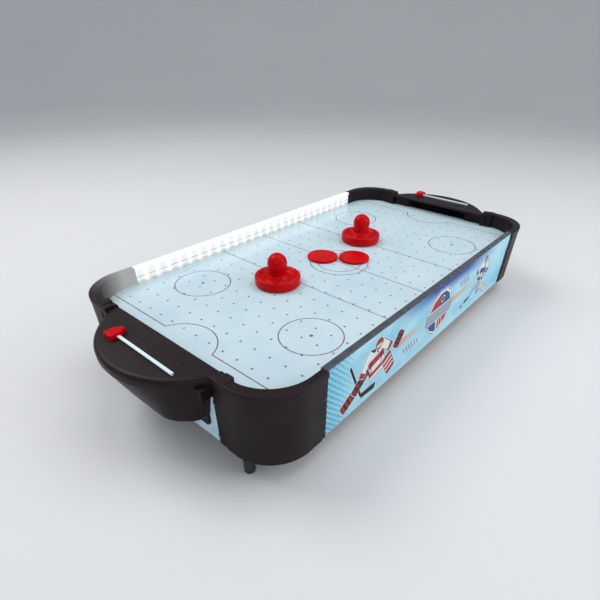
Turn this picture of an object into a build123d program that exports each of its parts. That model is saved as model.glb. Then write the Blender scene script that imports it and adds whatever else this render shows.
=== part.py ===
from build123d import *
from math import atan2, cos, pi, radians, sin, sqrt, tan
import os

# Tabletop air hockey: a fan-blown rink in a low case with lit side rails, two goals, two
# score counters, two pushers and two pucks.
# Frame: X runs along the rink, Y across it, Z up. The origin is the centre of the
# footprint on the surface that the feet stand on. Millimetres. Heights below are counted
# from a level GROUND below zero, and write() lifts every piece on to the feet.

# ---- driving dimensions ------------------------------------------------------------
FOOT_HEIGHT = 22.0
CASE_BOTTOM = 14.0
HALF_LENGTH = 294.9  # corner casings, outside
HALF_WIDTH = 157.4
CORNER_RADIUS = 50.0
DECK_TOP = 76.0
DECK_THICKNESS = 3.0
PANEL_THICKNESS = 3.0
SIDE_FACE = 155.0  # outer face of the long panels
END_FACE = 292.6  # outer face of the end panels
SIDE_VISIBLE = 221.5  # half length of long panel left showing between the corners
END_VISIBLE = 85.0
RIM_HEIGHT = 20.5  # corner rims and long rails above the deck
BRIDGE_HEIGHT = 17.0  # goal cover above the deck
RIM_WIDTH = 9.0
END_RIM_WIDTH = 11.2  # the corner rims are wider beside the goals
RIM_BAND = 6.0  # height of the band round the top of a corner
WELL_RADIUS = 48.0  # inner corners of the wall round the rink
RIM_STEP = 0.6  # the wall below the rim stands back by this much
STRIP_STEP = 0.7  # and the lapped strips by this much more
GOAL_REACH = 341.0  # furthest point of the goal cover from the centre
GOAL_RADIUS = 96.5
GOAL_MOUTH = 110.0
PUSHER_RADIUS = 28.9
PUSHER_HEIGHT = 39.7
PUCK_RADIUS = 21.4
PUCK_THICKNESS = 3.6
HOLE_PITCH_X = 23.4
HOLE_PITCH_Y = 21.1
HOLE_COUNT_X = 22
HOLE_COUNT_Y = 13
HOLE_RADIUS = 0.8

# ---- derived heights and faces -----------------------------------------------------
GROUND = CASE_BOTTOM - FOOT_HEIGHT  # the surface that the feet stand on
SHELF_TOP = CASE_BOTTOM + 3.0
BASE_TOP = SHELF_TOP + 3.0
DECK_BOTTOM = DECK_TOP - DECK_THICKNESS
SEAL_BOTTOM = DECK_BOTTOM - 1.0
RIM_TOP = DECK_TOP + RIM_HEIGHT
RIM_ROOF = RIM_TOP - 3.2  # underside of the hollow corner rim
BAND_BOTTOM = RIM_TOP - RIM_BAND
PANEL_TOP = RIM_TOP - 1.2
SLEEVE_TOP = RIM_ROOF - 0.3  # top of the panel ends inside the corner casings
BRIDGE_TOP = DECK_TOP + BRIDGE_HEIGHT
BRIDGE_BOTTOM = BRIDGE_TOP - 3.0
SIDE_INNER = SIDE_FACE - PANEL_THICKNESS
END_INNER = END_FACE - PANEL_THICKNESS
WELL_X = HALF_LENGTH - RIM_WIDTH  # inner faces of the wall round the rink
WELL_Y = HALF_WIDTH - RIM_WIDTH
SLEEVE = 14.5  # how far a panel runs into its corner casing
GOAL_CENTRE = GOAL_REACH - GOAL_RADIUS
PLAY = 0.1  # clearance round pieces that slide into one another
BEYOND = 400.0  # further out than any piece, for cuts that run right through

SIDES = {"near": -1, "far": 1}
ENDS = {"left": -1, "right": 1}


def write(shape, name):
    export_step(Pos(0, 0, -GROUND) * shape, "parts/" + name + ".step")


def cylinder(radius, low, high):
    """An upright cylinder on the Z axis between two heights."""
    return Pos(0, 0, low) * extrude(Circle(radius), high - low)


def block(x, y, z):
    """A box from three (low, high) pairs."""
    return Pos(sum(x) / 2, sum(y) / 2, sum(z) / 2) * Box(x[1] - x[0], y[1] - y[0], z[1] - z[0])


def both(low, high, sign):
    """The same span on the side that sign says, in rising order."""
    return tuple(sorted((sign * low, sign * high)))


def slab(half_x, half_y, radius, low, high):
    """A plate with rounded corners between two heights."""
    return Pos(0, 0, low) * extrude(RectangleRounded(2 * half_x, 2 * half_y, radius), high - low)


def frame_ring(inset_out, inset_in, low, high):
    """A band that follows the case outline between two insets from it."""
    outer, inner = (
        slab(HALF_LENGTH - i, HALF_WIDTH - i, CORNER_RADIUS - i, low, high) for i in (inset_out, inset_in)
    )
    return outer - inner


def rod(radius, start, end):
    """A round bar between two points."""
    way = Vector(*end) - Vector(*start)
    return extrude(Plane(Vector(*start), z_dir=way) * Circle(radius), way.length)


def at_end(shape, sign):
    """Puts a piece drawn at the +X end at the end that sign says."""
    return shape if sign > 0 else mirror(shape, about=Plane.YZ)


# ---- case --------------------------------------------------------------------------
def playfield_board():
    face = RectangleRounded(2 * END_INNER - 0.6, 2 * SIDE_INNER - 0.6, 46.5)
    places = GridLocations(HOLE_PITCH_X, HOLE_PITCH_Y, HOLE_COUNT_X, HOLE_COUNT_Y)
    face -= [place * Circle(HOLE_RADIUS) for place in places]
    return notched(Pos(0, 0, DECK_BOTTOM) * extrude(face, DECK_THICKNESS))


LEAD_X = 62.0  # where the light leads rise, behind the light covers
LEAD_Y = SIDE_INNER - 1.05


def notched(shape):
    """Cuts the two passages for the light leads."""
    for sign in SIDES.values():
        shape -= rod(1.2, (LEAD_X, sign * LEAD_Y, BASE_TOP + 20), (LEAD_X, sign * LEAD_Y, DECK_TOP + 1))
    return shape


FAN_THROAT = 42.0
BATTERY_X = 150.0
BATTERY_HALF = (49.0, 32.0)


def base_board():
    board = slab(END_INNER - 0.3, SIDE_INNER - 0.3, 46.5, SHELF_TOP, BASE_TOP)
    throat = Pos(0, 0, SHELF_TOP) * Cylinder(FAN_THROAT, 20)
    bay = Pos(BATTERY_X, 0, SHELF_TOP) * Box(2 * BATTERY_HALF[0], 2 * BATTERY_HALF[1], 20)
    board = board - throat - bay
    for x, y in fan_screw_places():
        board -= rod(SCREW_RADIUS, (x, y, SHELF_TOP - 1), (x, y, BASE_TOP + 1))
    return board


SWITCH_X = 150.0
SWITCH_Z = 44.0
SWITCH_HALF = (10.0, 7.0)  # half width and half height of the cut-out


def side_panel(sign):
    """Long panel; its ends are lower where they enter the corner casings."""
    reach, shown = SIDE_VISIBLE + SLEEVE, SIDE_VISIBLE - PLAY
    thickness = both(SIDE_INNER, SIDE_FACE, sign)
    panel = block((-reach, reach), thickness, (CASE_BOTTOM, SLEEVE_TOP))
    panel += block((-shown, shown), thickness, (SLEEVE_TOP, PANEL_TOP))
    if sign > 0:
        panel -= Pos(SWITCH_X, SIDE_FACE, SWITCH_Z) * Box(2 * SWITCH_HALF[0], 20, 2 * SWITCH_HALF[1])
    return panel


END_PANEL_TOP = BRIDGE_BOTTOM - PLAY


def end_panel(sign):
    reach = END_VISIBLE + SLEEVE - 0.5
    panel = block(both(END_INNER, END_FACE, sign), (-reach, reach), (CASE_BOTTOM, END_PANEL_TOP))
    mouth = block(both(END_INNER - 1, END_FACE + 1, sign), (-GOAL_MOUTH / 2, GOAL_MOUTH / 2),
                  (DECK_TOP, END_PANEL_TOP + 1))
    return panel - mouth


def corner_casing(sign_x, sign_y):
    """One moulding: outer wall, hollow rim, collars beside the goal, ledge and shelf."""
    quarter = block((SIDE_VISIBLE, HALF_LENGTH + 5), (END_VISIBLE, HALF_WIDTH + 5), (0, RIM_TOP + 5))
    wall = slab(HALF_LENGTH, HALF_WIDTH, CORNER_RADIUS, CASE_BOTTOM, DECK_TOP)
    wall -= slab(END_FACE, SIDE_FACE, CORNER_RADIUS - 2, CASE_BOTTOM, DECK_TOP)
    rim = slab(HALF_LENGTH, HALF_WIDTH, CORNER_RADIUS, DECK_TOP, RIM_TOP)
    well_x = HALF_LENGTH - END_RIM_WIDTH
    rim -= slab(well_x, WELL_Y, WELL_RADIUS, DECK_TOP, RIM_TOP)
    rim &= quarter
    crown = [e for e in rim.edges() if e.center().Z > RIM_TOP - 0.01 and e.length > 15]
    body = (wall & quarter) + fillet(crown, 1.8)
    for collar in goal_collars():
        body += collar
    channel = slab(END_FACE, SIDE_FACE, CORNER_RADIUS - 2, DECK_TOP - 1, RIM_ROOF)
    channel -= slab(well_x + 2, WELL_Y + 2, WELL_RADIUS + 2, DECK_TOP - 1, RIM_ROOF)
    body -= channel
    body += corner_floors(quarter)
    body -= Pos(*FOOT_PLACE, CASE_BOTTOM) * Cylinder(FOOT_STEM + 0.05, 20)
    body -= frame_ring(-1, RIM_STEP, CASE_BOTTOM - 1, BAND_BOTTOM)
    strip_face = HALF_LENGTH - RIM_STEP - STRIP_STEP
    body -= block((strip_face, HALF_LENGTH + 1), (END_VISIBLE - 1, END_VISIBLE + 12),
                  (CASE_BOTTOM - 1, BAND_BOTTOM))
    strip_face = HALF_WIDTH - RIM_STEP - STRIP_STEP
    body -= block((SIDE_VISIBLE - 1, SIDE_VISIBLE + 6), (strip_face, HALF_WIDTH + 1),
                  (CASE_BOTTOM - 1, BAND_BOTTOM))
    for start, end in corner_screw_axes():
        if start[1] < END_VISIBLE + 10:
            body += rod(BOSS_RADIUS, start, (END_FACE, start[1], start[2]))
        body -= rod(SCREW_RADIUS, start, end)
    return turned(body, sign_x, sign_y)


def goal_collars():
    """A low collar beside the goal cover, then a higher one that stands above the rim."""
    low = block((WELL_X - 6, END_FACE), (END_VISIBLE, END_VISIBLE + 8), (DECK_TOP, BRIDGE_TOP + 2))
    low = fillet(low.edges().filter_by(Axis.Y).group_by(Axis.Z)[-1], 1.5)
    high = block((WELL_X - 5.2, END_FACE), (END_VISIBLE + 7.5, END_VISIBLE + 18), (DECK_TOP, RIM_TOP + 1.2))
    high = fillet(high.edges().filter_by(Axis.Z).group_by(Axis.X)[0], 2.0)
    return [low, fillet(high.faces().sort_by(Axis.Z)[-1].edges(), 1.0)]


def corner_floors(quarter):
    """The ledge that carries the deck in the bend and the shelf under the base board."""
    clear_x, clear_y = SIDE_VISIBLE + SLEEVE, END_VISIBLE + SLEEVE
    bend = block((clear_x + 1, HALF_LENGTH), (clear_y + 1, HALF_WIDTH), (0, RIM_TOP))
    ledge = slab(END_FACE + 0.1, SIDE_FACE + 0.1, CORNER_RADIUS - 2, SEAL_BOTTOM - 8, SEAL_BOTTOM)
    ledge -= slab(END_INNER - 12, SIDE_INNER - 12, CORNER_RADIUS - 15, SEAL_BOTTOM - 8, SEAL_BOTTOM)
    shelf = slab(END_FACE + 0.1, SIDE_FACE + 0.1, CORNER_RADIUS - 2, CASE_BOTTOM, SHELF_TOP)
    shelf -= slab(END_INNER - 26, SIDE_INNER - 26, CORNER_RADIUS - 27, CASE_BOTTOM, SHELF_TOP)
    panels = block((SIDE_VISIBLE - 1, clear_x + PLAY), (SIDE_INNER - PLAY, SIDE_FACE), (0, PANEL_TOP))
    panels += block((END_INNER - PLAY, END_FACE), (END_VISIBLE - 1, clear_y + PLAY), (0, PANEL_TOP))
    return (ledge & bend) + ((shelf & quarter) - panels)


def turned(shape, sign_x, sign_y):
    if sign_x < 0:
        shape = mirror(shape, about=Plane.YZ)
    if sign_y < 0:
        shape = mirror(shape, about=Plane.XZ)
    return shape


SCREW_RADIUS = 1.3
SCREW_HEIGHTS = (25.0, 67.0)
BOSS_RADIUS = 3.4
END_SCREW_Y = END_VISIBLE + 2.5
SIDE_SCREW_X = SIDE_VISIBLE + 3.0


def corner_screw_axes():
    """Head end and point of each screw through one corner's two strips."""
    axes = []
    step = RIM_STEP + STRIP_STEP
    for height in SCREW_HEIGHTS:
        axes.append(((HALF_LENGTH - step, END_SCREW_Y, height), (END_INNER - 8, END_SCREW_Y, height)))
        axes.append(((SIDE_SCREW_X, HALF_WIDTH - step, height), (SIDE_SCREW_X, SIDE_INNER - 8, height)))
    return axes


def screw(start, end):
    """A pan-head screw: shank with a point, domed head and a cross slot."""
    way = Vector(*end) - Vector(*start)
    shank_end = 2 - way.length
    head = cylinder(2.3, 0, 1.2)
    head = fillet(head.edges().sort_by(Axis.Z)[-1], 0.9)
    slot = Box(2.4, 0.5, 1.0) + Box(0.5, 2.4, 1.0)
    shank = cylinder(SCREW_RADIUS, shank_end, 0)
    point = Pos(0, 0, shank_end - 1) * Cone(0.2, SCREW_RADIUS, 2)
    body = head + shank + point - Pos(0, 0, 1.2) * slot
    return Plane(Vector(*start), z_dir=way * -1).location * body


def flipped(point, sign_x, sign_y):
    return (point[0] * sign_x, point[1] * sign_y, point[2])


def all_corner_axes():
    """The screw axes of all four corners."""
    axes = []
    for sign_x in (-1, 1):
        for sign_y in (-1, 1):
            for start, end in corner_screw_axes():
                axes.append((flipped(start, sign_x, sign_y), flipped(end, sign_x, sign_y)))
    return axes


def corner_screws():
    return [screw(start, end) for start, end in all_corner_axes()]


def battens(along_side, sign):
    """An upper strip under the deck's edge and a lower strip on the base board."""
    holes = [rod(SCREW_RADIUS, start, end) for start, end in all_corner_axes()]
    made = []
    for z in ((BASE_TOP, BASE_TOP + 10), (SEAL_BOTTOM - 10, SEAL_BOTTOM)):
        if along_side:
            reach = SIDE_VISIBLE + SLEEVE
            piece = notched(block((-reach, reach), both(SIDE_INNER - 10, SIDE_INNER, sign), z))
        else:
            reach = END_VISIBLE + SLEEVE - 0.5
            piece = block(both(END_INNER - 10, END_INNER, sign), (-reach, reach), z)
        made.append(piece - holes)
    return made


def drilled(panel):
    """Drills a panel for the corner screws that pass through it."""
    for start, end in all_corner_axes():
        panel -= rod(SCREW_RADIUS, start, end)
    return panel


def deck_seal():
    ring = slab(END_INNER - 0.5, SIDE_INNER - 0.5, 46, SEAL_BOTTOM, DECK_BOTTOM)
    return notched(ring - slab(END_INNER - 9, SIDE_INNER - 9, 38, SEAL_BOTTOM, DECK_BOTTOM))


FOOT_PLACE = (286.3, 116.2)
FOOT_STEM = 3.0
FOOT_RADII = (5.4, 5.8)  # at the ground and at the case


def foot(sign_x, sign_y):
    pad = Pos(0, 0, GROUND + FOOT_HEIGHT / 2) * Cone(*FOOT_RADII, FOOT_HEIGHT)
    pad = fillet(pad.edges().sort_by(Axis.Z)[0], 1.0)
    stem = cylinder(FOOT_STEM, CASE_BOTTOM, CASE_BOTTOM + 2.6)
    return Pos(sign_x * FOOT_PLACE[0], sign_y * FOOT_PLACE[1], 0) * (pad + stem)


# ---- lit long rails ----------------------------------------------------------------
COVER_FACE = WELL_Y + 0.2  # rink side of the light cover
RAIL_INNER = WELL_Y - 1.2
RAIL_OUTER = SIDE_FACE + 0.2
LED_PITCH = 16.6
LED_COUNT = 26


def side_rail(sign):
    """A cap over the panel's top edge, a lip for the light cover and a locating rib."""
    shown, reach = SIDE_VISIBLE, SIDE_VISIBLE + SLEEVE - 1.5
    cap = block((-shown, shown), (RAIL_INNER, RAIL_OUTER), (PANEL_TOP, RIM_TOP))
    cap = fillet(cap.edges().filter_by(Axis.X).group_by(Axis.Z)[-1], 0.8)
    cap += block((-shown, shown), (RAIL_INNER, COVER_FACE), (PANEL_TOP - 2, PANEL_TOP))
    rib_sides = (WELL_Y + 2.1, SIDE_INNER - PLAY)
    rib_low = DECK_TOP + 13.4
    cap += block((PLAY - shown, shown - PLAY), rib_sides, (rib_low, PANEL_TOP))
    cap += block((-reach, reach), rib_sides, (rib_low, SLEEVE_TOP))
    return turned(cap, 1, sign)


def light_cover(sign):
    """Frosted strip that closes the lit wall of the rink."""
    face = block((-SIDE_VISIBLE, SIDE_VISIBLE), (COVER_FACE, COVER_FACE + 1.2), (DECK_TOP, PANEL_TOP))
    return turned(face, 1, sign)


def led_board(sign):
    board = block((-SIDE_VISIBLE + 3, SIDE_VISIBLE - 3), (SIDE_INNER - 0.8, SIDE_INNER),
                  (DECK_TOP + 3, DECK_TOP + 13))
    return turned(board, 1, sign)


def leds(sign):
    back = SIDE_INNER - 0.8
    body = block((-2.5, 2.5), (back - 1.1, back), (DECK_TOP + 5.5, DECK_TOP + 10.5))
    body = fillet(body.edges().filter_by(Axis.Y), 0.6)
    made = []
    for i in range(LED_COUNT):
        made.append(turned(Pos((i - (LED_COUNT - 1) / 2) * LED_PITCH, 0, 0) * body, 1, sign))
    return made


# ---- goals (drawn at the +X end) ---------------------------------------------------
SKIRT_TOP = BRIDGE_TOP - 10.0
SKIRT_BOTTOM = DECK_TOP - 30.0
SKIRT_FRONT = 325.0
SKIRT_HALF = 75.0
SKIRT_BEND = 44.0
SKIRT_BULGE = 0.38
HOOD_WALL = 2.5
TRAY_BOTTOM = DECK_TOP - 45.0
TRAY_TOP = SKIRT_BOTTOM + 4.0
TRAY_BULGE = 0.42
RETURN_HALF = 32.0  # half width of the gap that the pucks come back through
RETURN_SILL = TRAY_BOTTOM + 8.0


def top_outline(inset, back=END_FACE):
    """D outline: three arcs of one circle and a straight back."""
    radius = GOAL_RADIUS - inset
    half = sqrt(radius**2 - (back - GOAL_CENTRE) ** 2)
    shoulder = radians(22)
    end = atan2(half, back - GOAL_CENTRE)

    def point(angle):
        return Vector(GOAL_CENTRE + radius * cos(angle), radius * sin(angle))

    return outline(back, half, point((shoulder + end) / 2), point(shoulder), GOAL_CENTRE + radius)


def low_outline(front, half, bend_y, bulge, back=END_FACE):
    """Lower outline: nearly straight front with rounded shoulders."""
    bend = Vector(front - 1.0, bend_y)
    corner = Vector(front, half)
    chord_mid = (Vector(back, half) + bend) * 0.5
    mid = chord_mid + (corner - chord_mid) * bulge
    return outline(back, half, mid, bend, front)


def outline(back, half, mid, bend, front):
    low = [Vector(p.X, -p.Y) for p in (bend, mid)]
    edges = [
        ThreePointArc(Vector(back, half), mid, bend),
        ThreePointArc(bend, Vector(front, 0), low[0]),
        ThreePointArc(low[0], low[1], Vector(back, -half)),
        Line(Vector(back, -half), Vector(back, half)),
    ]
    return make_face(Curve() + edges)


def shell_body(wall, low, high):
    """Tapered cup between the D outline above and the lower outline below."""
    upper = Pos(0, 0, SKIRT_TOP) * top_outline(wall)
    lower = low_outline(SKIRT_FRONT - wall, SKIRT_HALF - wall, SKIRT_BEND - wall / 2, SKIRT_BULGE)
    body = loft([upper, Pos(0, 0, SKIRT_BOTTOM) * lower], ruled=True)
    return body & block((0, BEYOND), (-BEYOND, BEYOND), (low, high))


SLIDE_X = 311.0
HOOD_SCREW = (64.0, 58.0)  # Y and Z
EAR_SCREW = (67.0, 38.5)
EAR_THICKNESS = 2.6


def goal_cover():
    """Bridge over the goal, D-shaped hood, and end walls each side of the mouth."""
    hood = Pos(0, 0, SKIRT_TOP) * extrude(top_outline(0), BRIDGE_TOP - SKIRT_TOP)
    rim = [e for e in hood.edges() if e.center().Z > BRIDGE_TOP - 0.01 and e.center().X > END_FACE + 1]
    hood = fillet(rim, 5.0)
    hood += shell_body(0, SKIRT_BOTTOM, SKIRT_TOP)
    hood -= Pos(0, 0, SKIRT_TOP) * extrude(top_outline(HOOD_WALL), BRIDGE_BOTTOM - SKIRT_TOP)
    hood -= shell_body(HOOD_WALL, SKIRT_BOTTOM, SKIRT_TOP)
    reach = END_VISIBLE - PLAY
    plate = block((WELL_X - 6, END_FACE), (-reach, reach), (BRIDGE_BOTTOM, BRIDGE_TOP))
    plate = fillet(plate.edges().filter_by(Axis.Y).group_by(Axis.X)[0].sort_by(Axis.Z)[-1], 1.4)
    body = hood + plate
    y, z = HOOD_SCREW
    for side in (-1, 1):
        body += block((WELL_X, END_INNER - PLAY), both(GOAL_MOUTH / 2, reach, side),
                      (DECK_TOP, BRIDGE_BOTTOM))
        body += block((END_FACE, END_FACE + 12), both(75, 84.3, side), (DECK_TOP - 3, SKIRT_TOP + 2))
        lug = block((END_FACE, END_FACE + 8), both(y - 4, SKIRT_HALF + 5, side), (z - 3.5, z + 3.5))
        body += lug & shell_body(0, SKIRT_BOTTOM, SKIRT_TOP)
        body -= rod(SCREW_RADIUS, (END_FACE - 1, side * y, z), (END_FACE + 7, side * y, z))
    return body


def tray_body(inset, low, high):
    """Tapered cup for the catch tray, drawn in from its outer face."""
    upper = low_outline(313.4 - inset, 66.8 - inset, 36.5 - inset / 2, TRAY_BULGE)
    lower = low_outline(310.5 - inset, 62.5 - inset, 34 - inset / 2, TRAY_BULGE)
    body = loft([Pos(0, 0, TRAY_TOP) * upper, Pos(0, 0, TRAY_BOTTOM) * lower], ruled=True)
    return body & block((0, BEYOND), (-BEYOND, BEYOND), (low, high))


def goal_tray():
    """Catch tray under the hood with a low front lip and two screwed ears."""
    body = tray_body(0, TRAY_BOTTOM, TRAY_TOP) - tray_body(2, TRAY_BOTTOM + 2.5, TRAY_TOP)
    body -= block((300, BEYOND), (-RETURN_HALF, RETURN_HALF), (RETURN_SILL, TRAY_TOP + 1))
    lip = block((309, 318), (-RETURN_HALF - 2, RETURN_HALF + 2), (RETURN_SILL - 3.5, RETURN_SILL))
    lip = fillet(lip.edges().filter_by(Axis.Z).group_by(Axis.X)[-1], 5)
    lip = fillet([e for e in lip.edges().group_by(Axis.Z)[-1] if e.center().X > 312], 1.2)
    body += lip
    y, z = EAR_SCREW
    ear_face = END_FACE + EAR_THICKNESS
    for side in (-1, 1):
        ear = block((END_FACE, ear_face), both(60, 74, side), (TRAY_BOTTOM - 0.5, SKIRT_BOTTOM - PLAY))
        body += fillet(ear.edges().filter_by(Axis.X).group_by(Axis.Z)[0], 4)
        body -= rod(SCREW_RADIUS, (END_FACE - 1, side * y, z), (ear_face + 1, side * y, z))
    return body


def goal_screw_axes():
    """Two screws from inside into the hood, two from outside through the tray's ears."""
    axes = []
    for side in (-1, 1):
        y, z = HOOD_SCREW
        axes.append(((END_INNER, side * y, z), (END_FACE + 7, side * y, z)))
        y, z = EAR_SCREW
        axes.append(((END_FACE + EAR_THICKNESS, side * y, z), (END_INNER - 2, side * y, z)))
    return axes


def goal_screws(sign):
    return [at_end(screw(start, end), sign) for start, end in goal_screw_axes()]


SCORE_SPAN = {"left": (-57.0, 46.0), "right": (-46.0, 57.0)}  # the two ends are turned half round
STEM_HALF = 0.9
STEM_TOP = BRIDGE_TOP + 1.4
HEAD_HALF = 1.7
HEAD_TOP = STEM_TOP + 1.2
KNOB_HEIGHT = 5.2


def score_rail(span):
    """Tee-section guide strip for the pointer."""
    stem = block((SLIDE_X - STEM_HALF, SLIDE_X + STEM_HALF), span, (BRIDGE_TOP, STEM_TOP))
    head = block((SLIDE_X - HEAD_HALF, SLIDE_X + HEAD_HALF), span, (STEM_TOP, HEAD_TOP))
    return stem + fillet(head.edges().group_by(Axis.Z)[-1], 0.4)


def score_knob(span):
    """Pointer-shaped knob at the strip's high end, its tip towards the rink."""
    half_wide, back, neck, tip = 7.0, 8.5, -2.5, -10.5
    points = [(back, 0.8 - half_wide), (back, half_wide - 0.8), (neck, half_wide), (tip, 1.4), (tip, -1.4),
              (neck, -half_wide)]
    pointer = make_face(Polyline(*points, close=True))
    pointer = fillet(pointer.vertices(), 1.2)
    body = extrude(pointer, KNOB_HEIGHT)
    body = fillet(body.edges().group_by(Axis.Z)[-1], 1.2)
    body = Pos(SLIDE_X, span[1] - 10, BRIDGE_TOP + 0.2) * body
    run = (-BEYOND, BEYOND)
    half = STEM_HALF + PLAY
    body -= block((SLIDE_X - half, SLIDE_X + half), run, (BRIDGE_TOP, STEM_TOP))
    half = HEAD_HALF + PLAY
    body -= block((SLIDE_X - half, SLIDE_X + half), run, (STEM_TOP - PLAY, HEAD_TOP + PLAY))
    return body


# ---- fan, battery and switch -------------------------------------------------------
MOTOR_RADIUS = 12.0
MOTOR_BOTTOM = 42.0
MOTOR_TOP = 66.0
SHAFT_RADIUS = 1.0
SHAFT_BOTTOM = 27.0
BLADE_COUNT = 7
FAN_FLANGE = 100.0
FAN_SCREW = 44.0  # distance of the fan screws from the middle, along X and Y


def fan_screw_places():
    return [(FAN_SCREW * a, FAN_SCREW * b) for a in (-1, 1) for b in (-1, 1)]


def fan_shroud():
    """Square flange, round duct and a four-armed spider that carries the motor."""
    body = Pos(0, 0, BASE_TOP) * extrude(RectangleRounded(FAN_FLANGE, FAN_FLANGE, 8), 3)
    body += cylinder(FAN_THROAT + 2.2, BASE_TOP, BASE_TOP + 26)
    body -= cylinder(FAN_THROAT, BASE_TOP - 1, DECK_TOP)
    arm = block((MOTOR_RADIUS + 1, FAN_THROAT + 1), (-2.2, 2.2), (MOTOR_BOTTOM, MOTOR_BOTTOM + 4))
    for turn in range(4):
        body += Rot(0, 0, 45 + 90 * turn) * arm
    cup = cylinder(MOTOR_RADIUS + 2.4, MOTOR_BOTTOM - 2, MOTOR_BOTTOM + 8)
    cup -= cylinder(MOTOR_RADIUS + 0.05, MOTOR_BOTTOM, MOTOR_TOP)
    body += cup - cylinder(3.5, 0, MOTOR_TOP)
    for x, y in fan_screw_places():
        body -= rod(SCREW_RADIUS, (x, y, BASE_TOP - 1), (x, y, BASE_TOP + 5))
    return body


def fan_motor():
    """Can with a rear bearing boss and two solder tabs."""
    can = cylinder(MOTOR_RADIUS, MOTOR_BOTTOM, MOTOR_TOP)
    can = fillet(can.edges().sort_by(Axis.Z)[-1], 1.5)
    can += cylinder(4, MOTOR_TOP, MOTOR_TOP + 1.5)
    for side in (-1, 1):
        can += block((-1.2, 1.2), both(6.5, 7.0, side), (MOTOR_TOP - 0.5, MOTOR_TOP + 3))
    return can - cylinder(SHAFT_RADIUS + 0.05, MOTOR_BOTTOM - 1, MOTOR_BOTTOM + 8)


def motor_shaft():
    return cylinder(SHAFT_RADIUS, SHAFT_BOTTOM, MOTOR_BOTTOM + 7)


def fan_impeller():
    """Hub with pitched blades that clear the duct by a millimetre and a half."""
    low, high = 25.0, 38.5
    hub = cylinder(10, low + 1, high)
    body = fillet(hub.edges().sort_by(Axis.Z)[0], 2.5)
    root, tip = 8.0, FAN_THROAT - 1.5
    blade = Pos((root + tip) / 2, 0, (low + high) / 2) * Rot(52, 0, 0) * Box(tip - root, 1.6, 17)
    for turn in range(BLADE_COUNT):
        body += Rot(0, 0, 360 / BLADE_COUNT * turn) * blade
    body &= cylinder(tip, low, high)
    return body - cylinder(SHAFT_RADIUS, low - 1, high + 1)


def intake_grille():
    """Ring and bars under the fan's throat."""
    low, high = CASE_BOTTOM + 0.6, SHELF_TOP
    bar_high = low + 1.8
    flange = RectangleRounded(FAN_FLANGE, FAN_FLANGE, 8) - Circle(FAN_THROAT)
    body = Pos(0, 0, low) * extrude(flange, high - low)
    for radius in (10, 18, 26, 34):
        body += cylinder(radius + 0.9, low, bar_high) - cylinder(radius - 0.9, low, bar_high)
    bar = block((9.5, FAN_THROAT + 1), (-1.1, 1.1), (low, bar_high))
    for turn in range(8):
        body += Rot(0, 0, 45 * turn) * bar
    for x, y in fan_screw_places():
        body -= rod(SCREW_RADIUS, (x, y, low - 1), (x, y, high + 1))
    return body


def base_screws():
    """Grille, board and shroud share four screws that enter from below."""
    low = CASE_BOTTOM + 0.6
    return [screw((x, y, low), (x, y, BASE_TOP + 6)) for x, y in fan_screw_places()]


CELL_RADIUS = 7.1
CELL_LENGTH = 49.5
CELL_COUNT = 6
CELL_Z = 27.0
TUB_TOP = 38.0
TUB_WALL = 1.8
DOOR_HALF = (50.0, 34.0)


def cell_places():
    pitch = 2 * CELL_RADIUS + 0.8
    return [BATTERY_X + (i - (CELL_COUNT - 1) / 2) * pitch for i in range(CELL_COUNT)]


def battery_box():
    """Tub that opens downwards, with guides for its sliding door."""
    half_x, half_y = BATTERY_HALF[0] - 0.2, BATTERY_HALF[1] - 0.2
    inner_x, inner_y = half_x - TUB_WALL, half_y - TUB_WALL
    flange_low = CASE_BOTTOM + 0.4
    body = block((BATTERY_X - half_x, BATTERY_X + half_x), (-half_y, half_y), (SHELF_TOP, TUB_TOP))
    body += block((BATTERY_X - 56, BATTERY_X + 56), (-39, 39), (flange_low, SHELF_TOP))
    body -= block((BATTERY_X - inner_x, BATTERY_X + inner_x), (-inner_y, inner_y), (0, TUB_TOP - TUB_WALL))
    door_run = (BATTERY_X - DOOR_HALF[0] - 0.3, BATTERY_X + 60)
    guide = DOOR_HALF[1] + 0.2
    opening = guide - 3
    body -= block(door_run, (-guide, guide), (flange_low + 0.8, SHELF_TOP - PLAY))
    body -= block(door_run, (-opening, opening), (0, SHELF_TOP - PLAY))
    return body


def battery_door():
    """Sliding plate with a ribbed thumb patch."""
    low, high = CASE_BOTTOM + 1.4, SHELF_TOP - 0.3
    half_x, half_y = DOOR_HALF
    plate = block((BATTERY_X - half_x, BATTERY_X + half_x), (-half_y, half_y), (low, high))
    for i in range(5):
        x = BATTERY_X + 28 + 3 * i
        plate += block((x, x + 1.2), (-9, 9), (low - 0.6, low))
    return plate


def battery_cells():
    """Six cells side by side, turned end for end in turn."""
    cell = fillet(cylinder(CELL_RADIUS, 0, CELL_LENGTH).edges(), 0.8)
    cell += cylinder(2.6, CELL_LENGTH, CELL_LENGTH + 1)
    made = []
    for i, x in enumerate(cell_places()):
        facing = 1 if i % 2 else -1
        made.append(Pos(x, facing * CELL_LENGTH / 2, CELL_Z) * Rot(90 * facing, 0, 0) * cell)
    return made


def battery_contacts():
    """Plates on the tub's end walls with a conical spring on each negative end."""
    made = []
    wall = BATTERY_HALF[1] - 2.0
    gap = wall - 0.5 - CELL_LENGTH / 2
    for i, x in enumerate(cell_places()):
        negative = 1 if i % 2 else -1
        for side in (-1, 1):
            plate = block((x - 5, x + 5), both(wall - 0.5, wall, side), (CELL_Z - 6, CELL_Z + 6))
            if side == negative:
                button = extrude(Circle(5.5), gap, taper=12)
            else:
                button = extrude(Circle(3.2), gap - 1)
            plate += Pos(x, side * (wall - 0.5), CELL_Z) * Rot(90 * side, 0, 0) * button
            made.append(plate)
    return made


ROCKER_TILT = 8.0
ROCKER_PIVOT = SIDE_FACE - 1.5
PIN_RADIUS = 0.9


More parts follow.
